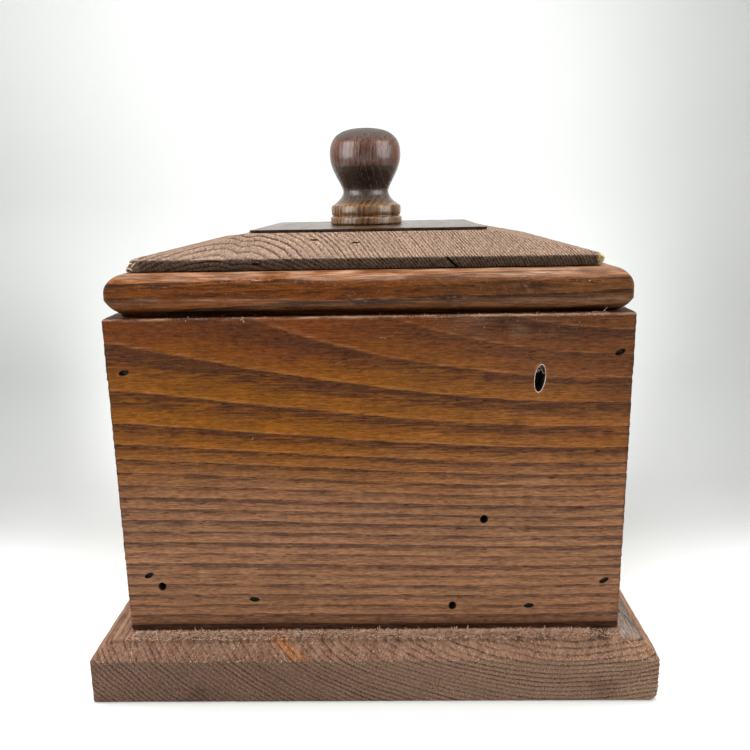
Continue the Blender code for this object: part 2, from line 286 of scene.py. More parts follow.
def front_tint(s, grain):
    """Dark red-brown at the top, golden above the middle, dull tan below."""
    level = s.total(grain.height, s.times(s.less(grain.fibres(0.05, 2.5), 0.5), 30.0))
    golden = s.ease(level, 70.0, 110.0)
    right = s.ease(grain.along, -30.0, 70.0)
    rise = s.times(s.math("POWER", s.math("MAXIMUM", grain.along, 0.0), 2.0), 0.0020)
    top = s.ease(s.total(level, rise), 128.0, 148.0)
    light = s.mix(golden, (178, 128, 92), s.mix(right, (168, 102, 24), (170, 106, 48)))
    light = s.mix(top, light, s.mix(right, (136, 71, 28), (136, 82, 46)))
    return light, s.mix(golden, (106, 74, 58), s.mix(right, (92, 54, 32), (94, 59, 40)))


def rim_tint(s, grain):
    """Orange-brown on the left of the lid's moulding, duller on the right."""
    right = s.ease(grain.along, -20.0, 80.0)
    return s.mix(right, (140, 74, 12), (134, 82, 40)), s.mix(right, (56, 30, 14), (58, 38, 24))


def panel_tint(s, grain):
    """Grey-brown old wood, and yellow new wood where a corner broke off."""
    fresh = s.painted("fresh")
    return s.mix(fresh, (140, 115, 97), (246, 226, 164)), s.mix(fresh, (56, 40, 32), (176, 136, 76))


def plinth_tint(s, grain):
    """Darker on the left, grey to the right of the box, with one slanting orange streak in front."""
    swing = s.less(grain.fibres(0.03, 2.0), 0.5)
    side = s.ease(s.total(grain.across, s.times(swing, 60.0)), -90.0, 90.0)
    light = s.mix(side, (138, 108, 92), (172, 138, 113))
    light = s.mix(s.times(s.painted("orange"), 0.25), light, (184, 112, 70))
    light = s.mix(s.painted("grey"), light, (150, 133, 122))
    dark = s.mix(s.painted("grey"), (80, 57, 45), (128, 114, 105))
    drop = s.math("MAXIMUM", s.less(24.1, grain.height), 0.0)
    ragged = s.times(s.less(grain.fibres(0.5, 2.0), 0.5), 7.0)
    place = s.total(grain.across, s.times(drop, -1.7), ragged, 38.0)
    patch = s.times(s.ease(s.math("ABSOLUTE", place), 5.5, 1.0), s.painted("orange"), 0.75)
    return s.mix(patch, light, (204, 128, 66)), s.mix(patch, dark, (120, 76, 46))


def knob_tint(s, grain):
    """From the foot up: tan with strong stripes, grey-brown neck, a nearly black band that is partly a
    darker finish and partly painted shade, red-brown bulb, and a dull crown darkened as painted shade.
    """
    level = s.less(grain.along, 1000 * node_box("knob")[0][2])
    light, dark = (174, 120, 64), (46, 25, 10)
    for start, stop, paler, deeper in (
        (9.2, 10.6, (112, 90, 70), (72, 54, 40)),
        # Nearly black: partly a darker finish and partly painted shade for the dark surroundings that the
        # lower bulb reflects.
        (15.6, 17.4, (48, 29, 21), (32, 20, 15)),
        (26.2, 27.6, (128, 76, 50), (70, 38, 26)),
        # The dull crown: dusty, and darkened as painted shade against the light from above.
        (37.0, 41.5, (66, 52, 46), (48, 36, 31)),
    ):
        above = s.ease(level, start, stop)
        light, dark = s.mix(above, light, paler), s.mix(above, dark, deeper)
    return light, dark


FRONT_WOOD = Wood(
    grain="x", pith=(-65.0, 171.2), lean=(-24.3, 4.9), bend=(-6.75, -0.3), ring_width=9.35,
    young_rings=(0.130, 78.5, 3.0), warp=0.8, wave=0.35,
    dark=(96, 60, 44), light=(150, 96, 52), line=(186, 124, 74), bare=(206, 166, 138),
    pale=(214, 176, 144), band=SOFT_BAND, band_strength=0.85, line_strength=0.5, streaks=1.0, grit=0.52,
    pores=1.0, flecks=0.10, relief=0.26, roughness=0.50, specular=0.07, coat=0.0, dent=None,
)
SIDE_WOOD = FRONT_WOOD._replace(grain="y", pith=(-60.0, 190.0), lean=(12.0, -8.0), bend=(0.0, 2.0))
BACK_WOOD = FRONT_WOOD._replace(pith=(70.0, 20.0), lean=(18.0, 6.0), bend=(4.0, 0.0))
RIM_WOOD = FRONT_WOOD._replace(
    pith=(-60.0, 230.0), lean=(3.0, 1.5), bend=(0.0, 0.0), ring_width=4.2, young_rings=None, warp=2.0,
    dark=(56, 30, 14), line=(158, 94, 38), pale=(236, 200, 170),
    band_strength=0.6, flecks=0.12, roughness=0.36, specular=0.1, coat=0.07, relief=0.5,
)
PANEL_WOOD = FRONT_WOOD._replace(
    grain="y", pith=(-56.0, 112.0), lean=(0.0, 0.0), bend=(0.0, 0.0), ring_width=1.95,
    young_rings=(0.43, 76.0, 6.0), dent=(-51.0, 1.1, 3.6), warp=0.7, wave=0.2, band=NARROW_BAND,
    band_strength=1.1,
    dark=(56, 40, 32), line=(176, 148, 128), bare=(206, 182, 164),
    pale=(226, 202, 184), streaks=0.5, grit=0.85, pores=0.8, flecks=0.35, relief=0.30, roughness=0.75,
)
PLINTH_WOOD = FRONT_WOOD._replace(
    grain="y", pith=(85.0, 185.0), lean=(2.0, 2.0), bend=(0.0, 0.0), ring_width=1.85,
    young_rings=None, warp=2.6, wave=0.4, band=NARROW_BAND, band_strength=0.95,
    dark=(78, 56, 46), line=(176, 148, 128), bare=(240, 198, 168),
    pale=(236, 206, 184), streaks=0.45, grit=0.8, pores=0.8, flecks=0.22, relief=0.45, roughness=0.8,
)
INSIDE_WOOD = FRONT_WOOD._replace(
    pith=(-40.0, -60.0), lean=(0.0, 3.0), bend=(0.0, 0.0), ring_width=5.0, young_rings=None,
    dark=(150, 108, 70), light=(196, 158, 112), line=(206, 170, 126), bare=(214, 184, 140),
    roughness=0.75,
)


def knob_material():
    """Dark, polished, ring-porous hardwood with its grain upright."""
    wood = FRONT_WOOD._replace(
        grain="z", pith=(-75.0, 22.0), lean=(6.0, 0.0), bend=(0.0, 0.0), ring_width=2.3, young_rings=None,
        # The bare colour here is the knob crown's dusty colour, kept dark as painted shade.
        warp=0.7, wave=0.15, line=(150, 104, 78), bare=(68, 58, 52), band_strength=0.95, streaks=0.8,
        grit=0.45, relief=0.08, roughness=0.19, specular=1.0,
    )
    return wood_material("knob_hardwood", wood, knob_tint)


def plate_material():
    s = Shading("dark_lacquer")
    mottle = s.noise(s.place, detail=4.0, scale=180.0)
    return s.look(s.mix(mottle, (40, 26, 14), (78, 54, 34)), s.ease(mottle, 0.3, 0.7, 0.22, 0.38),
                  s.noise(s.place, detail=3.0, scale=90.0), 0.015 * MM, {SPECULAR: 0.5})


def metal_material(name, dark, light, roughness, metallic):
    s = Shading(name)
    blotch = s.noise(s.place, detail=4.0, scale=700.0)
    return s.look(s.mix(s.ease(blotch, 0.35, 0.65), dark, light),
                  s.ease(blotch, 0.3, 0.7, roughness, roughness + 0.2), blotch, 0.03 * MM,
                  {"Metallic": metallic})


def fibre_material(name, dark, light):
    """Torn wood fibres, each a little different."""
    s = Shading(name)
    tone = s.ease(s.noise(s.place, scale=650.0), 0.35, 0.65)
    return s.look(s.mix(tone, dark, light), s.ease(tone, 0.0, 1.0, 0.6, 0.9),
                  s.noise(s.place, scale=2500.0), 0.03 * MM, {SPECULAR: 0.3})


def bore_material():
    """Nearly black raw wood inside nail and beetle holes."""
    s = Shading("dark_hole_wood")
    return s.look(s.mix(s.noise(s.place, detail=3.0, scale=900.0), (14, 9, 7), (44, 28, 20)), 0.95)


# ---------------------------------------------------------------- mesh building


def bumps(points, size, seed):
    """Smooth noise from -1 to 1 at the points, with bumps about size metres apart on each axis."""
    place = points / np.asarray(size, float) + 31.7 * seed
    cell = np.floor(place).astype(np.int64)
    part = place - cell
    part = part * part * (3 - 2 * part)
    value = np.zeros(len(points))
    for corner in range(8):
        bit = np.array([corner & 1, corner >> 1 & 1, corner >> 2 & 1])
        x, y, z = (cell + bit).T
        code = (x * 73856093 ^ y * 19349663 ^ z * 83492791 ^ seed * 39916801) & 0x7FFFFFFF
        code = (code ^ code >> 13) * 1274126177 & 0x7FFFFFFF
        code = (code ^ code >> 15) & 0xFFFF
        weight = np.prod(np.where(bit, part, 1 - part), axis=1)
        value += weight * (code / 32767.5 - 1)
    return value


def rough(points, size, seed, octaves=3):
    """bumps at several sizes, each half the last."""
    value = np.zeros(len(points))
    for octave in range(octaves):
        value += bumps(points, np.asarray(size, float) / 2**octave, seed + octave) / 2**octave
    return value / 1.5


def ramp_to(value, start, stop):
    """0 where value is at start, 1 where it is at stop, smooth between."""
    share = np.clip((value - start) / (stop - start), 0, 1)
    return share * share * (3 - 2 * share)


def spaced(low, high, step, fine):
    """Places from low to high, close together near both ends, and about step apart between."""
    near = [0, 0.25 * fine, 0.5 * fine, 0.75 * fine, fine]
    count = max(1, round((high - low - 2 * fine) / step))
    middle = np.linspace(low + fine, high - fine, count + 1)[1:-1]
    return np.array([low + d for d in near] + list(middle) + [high - d for d in reversed(near)])


def lattice_box(low, high, step, fine):
    """Points and faces of a closed box with a fine grid on every side."""
    axes = [spaced(a, b, step, min(fine, (b - a) / 4)) for a, b in zip(low, high)]
    shape = [len(axis) for axis in axes]
    index = np.full(shape, -1)
    outside = np.zeros(shape, bool)
    for axis in range(3):
        for end in (0, -1):
            side = [slice(None)] * 3
            side[axis] = end
            outside[tuple(side)] = True
    index[outside] = np.arange(outside.sum())
    grid = np.stack(np.meshgrid(*axes, indexing="ij"), -1)
    points = grid[outside]
    faces = []
    for axis in range(3):
        for end in (0, -1):
            side = [slice(None)] * 3
            side[axis] = end
            sheet = index[tuple(side)]
            quads = np.stack([sheet[:-1, :-1], sheet[1:, :-1], sheet[1:, 1:], sheet[:-1, 1:]], -1)
            quads = quads.reshape(-1, 4)
            outward = (end == -1) == (axis != 1)
            faces.append(quads if outward else quads[:, ::-1])
    return points, np.concatenate(faces).tolist()


def round_edges(points, low, high, radius):
    """Rolls the box's edges to a radius, which may differ from point to point."""
    radius = np.broadcast_to(np.asarray(radius, float), len(points))[:, None]
    core = np.clip(points, low + radius, high - radius)
    out = points - core
    length = np.linalg.norm(out, axis=1, keepdims=True)
    return core + out / np.maximum(length, 1e-9) * np.minimum(length, radius)


def edge_distance(points, low, high):
    """Distance from each surface point of a box to the nearest of its edges."""
    to_face = np.minimum(points - low, high - points)
    return np.sort(to_face, axis=1)[:, 1]


def square_path(half, corner, per_side, per_corner):
    """Points round a square with rounded corners, anticlockwise from the front left."""
    points = []
    for turn in range(4):
        angle = math.radians(90 * turn)
        ahead = np.array([math.cos(angle), math.sin(angle)])
        out = np.array([ahead[1], -ahead[0]])
        for share in np.linspace(-1, 1, per_side + 1):
            points.append(out * half + ahead * share * (half - corner))
        centre = (out + ahead) * (half - corner)
        for step in range(1, per_corner):
            swing = math.radians(90 * step / per_corner)
            points.append(centre + corner * (out * math.cos(swing) + ahead * math.sin(swing)))
    return np.array(points)


def loft(loops, outline):
    """A closed solid: loops of points, top to bottom, and a fan of triangles at each end of the outline."""
    around = len(loops[0])
    points = np.concatenate(loops + [[[0, 0, outline[0][1]], [0, 0, outline[-1][1]]]])
    top, bottom = len(points) - 2, len(points) - 1
    here = np.arange(around)
    after = (here + 1) % around
    last = (len(loops) - 1) * around
    faces = []
    for upper in range(0, last, around):
        lower = upper + around
        faces += np.stack([upper + here, lower + here, lower + after, upper + after], -1).tolist()
    faces += np.stack([here, after, np.full(around, top)], -1).tolist()
    faces += np.stack([last + after, last + here, np.full(around, bottom)], -1).tolist()
    return points, faces


def square_loft(outline, corner):
    """An outline of (half width, height), top to bottom, carried round a square with rounded corners."""
    step, per_corner = 0.0012, 4
    per_side = round(2 * max(half for half, _ in outline) / step)
    loops = []
    for half, height in outline:
        path = square_path(half, corner, per_side, per_corner)
        loops.append(np.column_stack([path, np.full(len(path), height)]))
    return loft(loops, outline)


def turned_solid(outline, sides):
    """An outline of (radius, height), top to bottom, both ends on the axis, turned about Z."""
    angles = np.arange(sides) * 2 * math.pi / sides
    ring = np.column_stack([np.cos(angles), np.sin(angles)])
    loops = [np.column_stack([ring * radius, np.full(sides, height)]) for radius, height in outline[1:-1]]
    return loft(loops, outline)


def arc(centre, radius, start, stop, steps):
    """Points on an arc, in degrees from +X, both ends included."""
    angles = np.radians(np.linspace(start, stop, steps + 1))
    return [(centre[0] + radius * math.cos(a), centre[1] + radius * math.sin(a)) for a in angles]


def filled_in(outline, step):
    """The outline with points added, so that none are further apart than step."""
    points = [outline[0]]
    for start, stop in zip(outline, outline[1:]):
        count = max(1, math.ceil(math.dist(start, stop) / step))
        for i in range(1, count + 1):
            points.append(tuple(a + (b - a) * i / count for a, b in zip(start, stop)))
    return points


def make_piece(name, points, faces, materials):
    mesh = bpy.data.meshes.new(name)
    mesh.from_pydata(np.asarray(points).tolist(), [], faces)
    for material in materials:
        mesh.materials.append(material)
    piece = bpy.data.objects.new(name, mesh)
    bpy.context.scene.collection.objects.link(piece)
    return piece


def get_points(piece):
    flat = np.empty(len(piece.data.vertices) * 3, np.float32)
    piece.data.vertices.foreach_get("co", flat)
    return flat.reshape(-1, 3).astype(float)


def set_points(piece, points):
    piece.data.vertices.foreach_set("co", np.asarray(points, np.float32).ravel())
    piece.data.update()


def paint(piece, name, values):
    """A number for each point of the mesh, which the material reads."""
    attribute = piece.data.attributes.new(name, "FLOAT", "POINT")
    attribute.data.foreach_set("value", np.clip(values, 0, 1).astype(np.float32))


def smooth(piece, degrees):
    piece.data.shade_smooth()
    piece.data.set_sharp_from_angle(angle=math.radians(degrees))


def cut(piece, cutters):
    """Takes the cutters out of the piece. The new faces get the piece's second material."""
    bodies = bmesh.new()
    for points, faces in cutters:
        added = [bodies.verts.new(point) for point in points]
        for face in faces:
            bodies.faces.new([added[i] for i in face])
    mesh = bpy.data.meshes.new("cutter")
    bodies.to_mesh(mesh)
    bodies.free()
    for material in piece.data.materials:
        mesh.materials.append(material)
    for face in mesh.polygons:
        face.material_index = 1
    cutter = bpy.data.objects.new("cutter", mesh)
    bpy.context.scene.collection.objects.link(cutter)
    boolean = piece.modifiers.new("cut", "BOOLEAN")
    boolean.operation = "DIFFERENCE"
    boolean.object = cutter
    boolean.solver = "EXACT"
    evaluated = piece.evaluated_get(bpy.context.evaluated_depsgraph_get())
    result = bpy.data.meshes.new_from_object(evaluated)
    piece.modifiers.clear()
    piece.data = result
    bpy.data.objects.remove(cutter)


def sliver(root, tip, width, thickness, bow=(0, 0, 0)):
    """A thin pointed splinter from root to tip, bent sideways by the vector bow: points and faces."""
    root, tip, bow = Vector(root), Vector(tip), Vector(bow)
    ahead = (tip - root).normalized()
    side = ahead.cross(Vector((0.2, 0.1, 1.0))).normalized()
    up = side.cross(ahead)
    points = []
    for share, scale in ((0.0, 0.8), (0.35, 1.0), (0.7, 0.65), (1.0, 0.08)):
        middle = root.lerp(tip, share) + bow * math.sin(math.pi * share * 0.8)
        for across, out in ((-0.5, 0.0), (0.0, -0.5), (0.5, 0.0), (0.0, 0.5)):
            points.append(middle + side * (across * width * scale) + up * (out * thickness * scale))
    faces = [[0, 1, 2, 3], [15, 14, 13, 12]]
    for loop in range(0, 12, 4):
        for i in range(4):
            j = (i + 1) % 4
            faces.append([loop + j, loop + i, loop + 4 + i, loop + 4 + j])
    return points, faces


def bundle(name, slivers, material, body):
    """Many slivers as one piece."""
    points, faces = [], []
    for own_points, own_faces in slivers:
        start = len(points)
        points += [tuple(point) for point in own_points]
        faces += [[start + i for i in face] for face in own_faces]
    piece = make_piece(name, points, faces, [material])
    smooth(piece, 60)
    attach(piece, body)


def finish(piece, node, body, slot, sharp=40, **painted):
    """Paints and smooths the piece. It stands for its CAD node, and moves with it."""
    for name, values in painted.items():
        paint(piece, name, values)
    smooth(piece, sharp)
    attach(piece, body)
    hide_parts(node)


# ---------------------------------------------------------------- the boards

DARK_HOLE_WOOD = bore_material()
GREY_FIBRE = fibre_material("grey_fibre", (222, 180, 150), (255, 240, 222))
PALE_FIBRE = fibre_material("pale_fibre", (255, 212, 184), (255, 238, 220))
TAN_FIBRE = fibre_material("tan_fibre", (168, 126, 96), (228, 194, 164))
FRESH_WOOD = fibre_material("fresh_wood", (196, 150, 92), (244, 222, 168))

BOARD_EDGE = 0.0005          # radius of a planed board's edges
PLINTH_BEVEL = 0.0055
HOLE_PLACE = (0.0649, 0.1294)    # x and z of the long hole in the front
HOLE_LEAN = 0.10
ROUND_HOLES = ((-0.0856, 0.0441), (0.0324, 0.0347), (0.0447, 0.0724))
# Darker spots in the front board: place, half size and strength
FRONT_SPOTS = (
    (0.006, 0.1045, 0.0045, 0.0012, 0.8), (0.0565, 0.1120, 0.0022, 0.0014, 0.8),
    (-0.020, 0.1290, 0.0030, 0.0020, 0.5), (0.0915, 0.1070, 0.0022, 0.0025, 0.5),
    (-0.037, 0.1165, 0.0050, 0.0016, 0.4), (0.078, 0.1490, 0.0140, 0.0040, 0.45),
)
# Scuffs on the lid's moulding: place and half size
LID_SCUFFS = (
    (0.0600, 0.1640, 0.0060, 0.0016), (0.0300, 0.1595, 0.0080, 0.0022), (-0.0050, 0.1600, 0.0070, 0.0020),
)


def node_box(node):
    low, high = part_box(node)
    return np.array(low), np.array(high)


def middle(node):
    low, high = node_box(node)
    return (low + high) / 2


def nodes_called(start):
    return [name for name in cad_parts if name.startswith(start)]


def highest(*values):
    """The largest of the numbers at each point."""
    return np.maximum.reduce(values)


def spot(x, z, at_x, at_z, width, height):
    """1 at the middle of an oval spot on a front, fading out round it."""
    return np.exp(-(((x - at_x) / width) ** 2 + ((z - at_z) / height) ** 2))


def wood_piece(name, wood, tint, points, faces):
    """A mesh of wood. Its second material is for what is cut out of it."""
    return make_piece(name, points, faces, [wood_material(name, wood, tint), DARK_HOLE_WOOD])


def plain_board(node, wood, step=0.0015, seed=1, sawn_axis=None, tint=None):
    """A planed board with soft edges. Its two ends along sawn_axis are left rough from the saw."""
    low, high = node_box(node)
    points, faces = lattice_box(low, high, step, 0.0012)
    at_rest = points.copy()
    radius = BOARD_EDGE * (1 + 0.5 * bumps(points, 0.012, seed))
    points = round_edges(points, low, high, radius)
    if sawn_axis is not None:
        axis = "xyz".index(sawn_axis)
        size = np.full(3, 0.0009)
        size[axis] = 1.0
        for end, sign in ((low[axis], -1), (high[axis], 1)):
            near = ramp_to(np.abs(at_rest[:, axis] - end), 0.0016, 0.0)
            points[:, axis] += sign * near * 0.00032 * (rough(at_rest, size, seed + 5) - 0.6)
    return wood_piece(node + "_wood", wood, tint, points, faces), low, high


def tube_faces(sides, loops):
    """Faces of a capped tube of loops, each loop deeper than the last."""
    faces = [list(range(sides))]
    for loop in range(loops - 1):
        first, second = loop * sides, (loop + 1) * sides
        for i in range(sides):
            j = (i + 1) % sides
            faces.append([first + j, first + i, second + i, second + j])
    last = (loops - 1) * sides
    faces.append([last + i for i in reversed(range(sides))])
    return faces


def nail_slit(centre, length, height, tilt, outward, depth=0.004):
    """A nail hole drawn out along the grain, with pointed ends: a cutter that goes in from the surface."""
    sides = 14
    out = Vector(outward)
    along = Vector((1, 0, 0)) if abs(out.x) < 0.5 else Vector((0, 1, 0))
    up = out.cross(along)
    points = []
    for share, reach in ((1.0, 0.002), (1.0, -0.0008), (0.7, -depth)):
        for i in range(sides):
            angle = 2 * math.pi * i / sides
            u = math.copysign(abs(math.cos(angle)) ** 1.25, math.cos(angle)) * length / 2 * share
            v = math.sin(angle) * height / 2 * share
            turned = (u * math.cos(tilt) - v * math.sin(tilt), u * math.sin(tilt) + v * math.cos(tilt))
            points.append(Vector(centre) + along * turned[0] + up * turned[1] + out * reach)
    return points, tube_faces(sides, 3)


def borer_hole(centre, width, height, lean, depth, seed):
    """A beetle's hole in the front, a little out of round."""
    sides = 28
    rng = np.random.default_rng(seed)
    swings = np.resize(rng.normal(size=7), 8)
    wobble = 1 + 0.05 * np.interp(np.arange(sides), np.arange(0, sides + 1, 4), swings)
    points = []
    for share, reach in ((1.05, 0.002), (1.05, 0.0), (0.97, -0.0006), (0.95, -depth)):
        for i in range(sides):
            angle = 2 * math.pi * i / sides
            u = math.cos(angle) * width / 2 * share * wobble[i]
            v = math.sin(angle) * height / 2 * share * wobble[i]
            points.append(Vector((centre[0] + u + lean * v, centre[1] - reach, centre[2] + v)))
    return points, tube_faces(sides, 4)


def front_board():
    piece, low, high = plain_board("front_board", FRONT_WOOD, 0.0011, 3, "x", front_tint)
    half_width, face, top = high[0], low[1], high[2]
    cutters = []
    tilts = {"upper_left": 0.25, "upper_right": 0.45, "lower_left": 0.45, "lower_right": 0.5,
             "foot_left": -0.05, "foot_right": 0.1}
    for place, tilt in tilts.items():
        x, _, z = middle("front_nail_" + place)
        cutters.append(nail_slit((x, face, z), 0.0042, 0.0022, tilt, (0, -1, 0)))
    for number, (x, z) in enumerate(ROUND_HOLES):
        cutters.append(borer_hole((x, face, z), 0.0031, 0.0033, 0.0, 0.007, number))
    cutters.append(borer_hole((HOLE_PLACE[0], face, HOLE_PLACE[1]), 0.0038, 0.0104, HOLE_LEAN, 0.006, 9))
    cut(piece, cutters)

    points = get_points(piece)
    x, y, z = points.T
    edge = edge_distance(points, low, high)
    top_edge = ramp_to(top - z, 0.0013, 0.0001) * ramp_to(y, face + 0.0013, face)
    worn_right = ramp_to(x, 0.030, 0.060)
    chips = ramp_to(rough(points * (1, 0, 0), 0.0035, 5) + 0.4 * worn_right, 0.25, 0.9)
    z -= top_edge * (0.0001 + 0.0006 * chips)
    y += top_edge * (0.0001 + 0.0004 * chips)
    set_points(piece, points)

    hole = np.hypot((x - HOLE_PLACE[0]) / 0.0019, (z - HOLE_PLACE[1]) / 0.0052)
    scuffed = ramp_to(x, 0.022, 0.036) * ramp_to(x, 0.082, 0.072)
    scuffed = scuffed * ramp_to(z, 0.1438, 0.1462) * (y < face + 0.0004)
    wear = highest(
        0.9 * top_edge * ramp_to(rough(points, (0.006, 0.006, 0.0008), 4) + 0.3 * worn_right, -0.5, 0.4),
        0.6 * ramp_to(edge, 0.0008, 0.0) * ramp_to(rough(points, 0.006, 8), 0.1, 0.5),
        0.35 * ramp_to(hole, 1.25, 1.05) * ramp_to(y, face + 0.0015, face + 0.0005),
        0.16 * scuffed * ramp_to(rough(points, (0.008, 0.008, 0.004), 27), -0.4, 0.8),
    )
    mottled = 0.8 + 0.5 * rough(points, 0.0015, 21)
    end_bands = ramp_to(rough(points, (1.0, 1.0, 0.0035), 29), -0.7, 0.1)
    stain = highest(
        0.85 * ramp_to(z, low[2] + 0.0070, low[2] + 0.001),
        0.55 * scuffed * ramp_to(rough(points, (0.012, 0.01, 0.002), 28), -0.5, 0.4),
        0.9 * ramp_to(half_width - np.abs(x), 0.0012, 0.0002) * end_bands,
        # Painted shadow: the top face behind the front edge is darkened where the lid shades it.
        0.9 * (z > top - 0.0004) * (y > face + 0.0007),
        *[strength * spot(x, z, *place) * mottled for *place, strength in FRONT_SPOTS],
    )
    finish(piece, "front_board", "box", "varnished_wood", wear=wear, stain=stain)
    hole_rim(face)
    edge_foot, edge_top = top - 0.0006, top - 0.0001
    stray_fibres("front_fibres", TAN_FIBRE, "box", 61, (
        (110, (-0.098, face, edge_foot), (0.0, face + 0.0003, edge_top), (0, -0.7, 0.2), 0.0011, 0.00020),
        (260, (0.0, face, top - 0.0009), (0.090, face + 0.0003, edge_top), (0, -0.7, 0.3), 0.0013, 0.00022),
        (36, (-0.080, face + 0.0008, edge_top), (0.090, face + 0.0030, top), (0.3, -0.3, 0.5),
         0.0016, 0.00014),
        (70, (0.024, face, top - 0.0068), (0.080, face, top - 0.0012), (0.5, -0.15, 0.3), 0.0010, 0.00014),
        (5, (-0.0475, face, top - 0.0018), (-0.0450, face, edge_foot), (0.5, -0.3, 0.5), 0.0034, 0.00050),
        (9, (-0.060, face, 0.030), (0.085, face, 0.140), (0.6, -0.3, 0.2), 0.0016, 0.00020),
        (5, (0.083, face + 0.001, top), (0.090, face + 0.003, top + 0.0001), (1.2, 0, 0.1),
         0.0034, 0.00050),
        (2, (0.004, face, 0.1455), (0.006, face, 0.1465), (1.0, -0.2, -0.4), 0.0020, 0.00030),
    ))


def hole_rim(face):
    """The pale torn lip round the long hole, and grey dust in the hole's upper part."""
    rng = np.random.default_rng(63)
    centre = Vector((HOLE_PLACE[0], face - 0.00005, HOLE_PLACE[1]))
    half_width, half_height, count = 0.00205, 0.0054, 56

    def lip(turned, share=1.0):
        up = share * half_height * math.sin(turned)
        return centre + Vector((share * half_width * math.cos(turned) + HOLE_LEAN * up, 0, up))

    slivers = []
    for i in range(count):
        turned = 2 * math.pi * i / count
        thick = 0.00026 if math.sin(turned - 0.5) < 0.35 or rng.random() < 0.5 else 0.00012
        slivers.append(sliver(lip(turned), lip(turned + 0.2, rng.uniform(0.97, 1.03)), thick, thick))
    for _ in range(26):
        root = lip(rng.uniform(0.5, 2.6), rng.uniform(0.5, 1.0))
        root = root + Vector((0, rng.uniform(0.0006, 0.0014), 0))
        way = Vector(rng.normal(size=3)) * 0.0008
        slivers.append(sliver(root, root + way, 0.0002, 0.00015))
    bundle("hole_lip", slivers, GREY_FIBRE, "box")


def wall_board(side, wood, sawn_axis, seed):
    node = side + "_board"
    piece, low, high = plain_board(node, wood, seed=seed, sawn_axis=sawn_axis)
    out = {"left": (-1, 0, 0), "right": (1, 0, 0), "back": (0, 1, 0)}[side]
    axis = int(np.argmax(np.abs(out)))
    cutters = []
    for name in nodes_called(side + "_nail"):
        centre = middle(name)
        centre[axis] = high[axis] if out[axis] > 0 else low[axis]
        cutters.append(nail_slit(centre, 0.0038, 0.0020, 0.2, out))
    cut(piece, cutters)
    points = get_points(piece)
    edge = edge_distance(points, low, high)
    finish(piece, node, "box", "varnished_wood",
           wear=0.7 * ramp_to(edge, 0.0009, 0.0) * ramp_to(rough(points, 0.008, seed), -0.2, 0.4),
           stain=0.6 * ramp_to(points[:, 2], low[2] + 0.0055, low[2] + 0.001))


def inside_piece(node, grain, body, seed):
    piece, _, _ = plain_board(node, INSIDE_WOOD._replace(grain=grain), step=0.003, seed=seed)
    points = get_points(piece)
    finish(piece, node, body, "inside_wood", wear=np.zeros(len(points)),
           stain=0.3 * ramp_to(rough(points, 0.03, seed), 0.2, 0.8))


def plinth():
    half, _, top = node_box("plinth_board")[1]
    strip_edge, bevel_foot = half - PLINTH_BEVEL, top - PLINTH_BEVEL
    inner, soft = 0.090, 0.0006
    outline = filled_in([(inner, top), (strip_edge - soft, top)], 0.0012)
    outline += filled_in([(strip_edge + 0.2 * soft, top - 0.3 * soft),
                          (half - 0.3 * soft, bevel_foot - 0.2 * soft)], 0.0009)
    outline += filled_in([(half, bevel_foot - soft), (half, soft)], 0.0008)
    outline += [(half - 0.3 * soft, 0.3 * soft), (half - soft, 0), (half - 0.004, 0), (inner, 0)]
    points, faces = square_loft(outline, 0.0011)
    x, y, z = points.T
    side = np.maximum(np.abs(x), np.abs(y))
    outer = ramp_to(side, 0.098, 0.102)
    z += outer * 0.00022 * rough(points, (0.003, 0.012, 0.003), 11) * ramp_to(z, 0.001, 0.004)
    points[:, :2] *= (1 + outer * 0.0011 * rough(points, (0.004, 0.004, 0.0016), 12))[:, None]
    # The front right corner is worn and notched.
    worn = ramp_to(x, 0.1095, half) * ramp_to(y, -0.104, -half)
    notch = np.abs((z * 1000 / 1.9 + 0.3) % 1.0 - 0.5) * 2
    x -= worn * (0.0005 * notch + 0.0012 * ramp_to(z, 0.0035, 0.0))
    z += worn * 0.0008 * ramp_to(z, 0.002, 0.0)
    piece = wood_piece("plinth_wood", PLINTH_WOOD, plinth_tint, points, faces)

    points = get_points(piece)
    x, y, z = points.T
    on_top = ramp_to(z, top - 0.0008, top - 0.0002)
    on_strip = on_top * ramp_to(side, strip_edge - 0.0002, strip_edge - 0.0022)
    on_bevel = ramp_to(z, bevel_foot - 0.0004, bevel_foot + 0.0004)
    fuzz = rough(points, (0.0009, 0.006, 0.01), 14)
    wear = np.maximum(0.38 * on_strip * fuzz_thickness(x) * ramp_to(fuzz, -0.9, 0.3),
                      0.25 * on_bevel * ramp_to(fuzz, -0.5, 0.5))
    right_side = ramp_to(x, 0.0985, 0.1005) * ramp_to(y, -0.1090, -0.1060)
    # arris is painted shadow: a dark line along the top strip's outer edge, at the outer edge of the torn
    # fibres.
    arris = np.exp(-((z - top + 0.0002) / 0.0004) ** 2) * ramp_to(side, strip_edge - 0.0015, strip_edge)
    grime = 0.5 * ramp_to(rough(points, (0.02, 0.02, 0.01), 15), 0.2, 0.9)
    finish(piece, "plinth_board", "box", "bare_wood", wear=wear * (1 - right_side),
           grey=right_side * on_top, stain=np.maximum(grime, 0.5 * arris),
           orange=ramp_to(z, bevel_foot - 0.001, bevel_foot + 0.001))
    plinth_fuzz(top, strip_edge)


